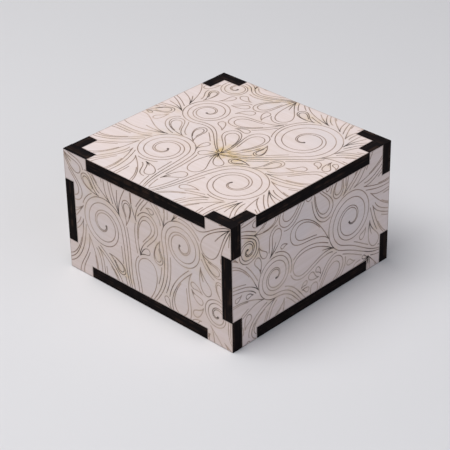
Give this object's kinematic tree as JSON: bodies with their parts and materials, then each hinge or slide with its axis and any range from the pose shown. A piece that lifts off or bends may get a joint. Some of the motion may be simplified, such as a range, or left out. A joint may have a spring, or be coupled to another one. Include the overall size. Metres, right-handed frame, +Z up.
{
  "type": "wooden puzzle box",
  "caption": "Small square finger-jointed wooden box with charred edges and engraved scrollwork; its lift-off lid is held by hidden sliding pins that spinning the box throws clear.",
  "frame": {"origin": "centre of the box's underside, which rests on the table", "axes": "+Z up, the way the lid lifts; -Y out of the front panel, +X out of the right panel"},
  "size_m": [0.092, 0.092, 0.055],
  "materials": {
    "panel_wood": "bare sanded pale plywood, laser cut: near-black charred edges and fine brown burnt lines",
    "inner_ply": "bare birch plywood with dark laser-cut edges",
    "dowel_birch": "bare turned birch dowel, glued flush",
    "pin_steel": "turned bright steel, lightly polished"
  },
  "bodies": {
    "case": {"bottom_panel": "panel_wood", "front_panel": "panel_wood", "back_panel": "panel_wood", "left_panel": "panel_wood", "right_panel": "panel_wood", "front_liner": "inner_ply", "back_liner": "inner_ply", "left_liner": "inner_ply", "right_liner": "inner_ply", "base_ring": "inner_ply", "front_left_guide": "inner_ply", "front_right_guide": "inner_ply", "back_left_guide": "inner_ply", "back_right_guide": "inner_ply", "cover_ring": "inner_ply", "ring_dowels": "dowel_birch"},
    "lid": {"lid_panel": "panel_wood", "upper_spacer": "inner_ply", "lower_spacer": "inner_ply", "catch_plate": "inner_ply", "lid_dowels": "dowel_birch"},
    "front_pin": {"front_lock_pin": "pin_steel"},
    "back_pin": {"back_lock_pin": "pin_steel"},
    "left_pin": {"left_lock_pin": "pin_steel"},
    "right_pin": {"right_lock_pin": "pin_steel"}
  },
  "joints": [
    {"name": "lid_lift", "type": "slide", "parent": "case", "child": "lid", "axis": [0, 0, 1], "range_m": [0, 0.07]},
    {"name": "front_pin_slide", "type": "slide", "parent": "case", "child": "front_pin", "axis": [0, 1, 0], "range_m": [0, 0.004]},
    {"name": "back_pin_slide", "type": "slide", "parent": "case", "child": "back_pin", "axis": [0, -1, 0], "range_m": [0, 0.004]},
    {"name": "left_pin_slide", "type": "slide", "parent": "case", "child": "left_pin", "axis": [1, 0, 0], "range_m": [0, 0.004]},
    {"name": "right_pin_slide", "type": "slide", "parent": "case", "child": "right_pin", "axis": [-1, 0, 0], "range_m": [0, 0.004]}
  ]
}
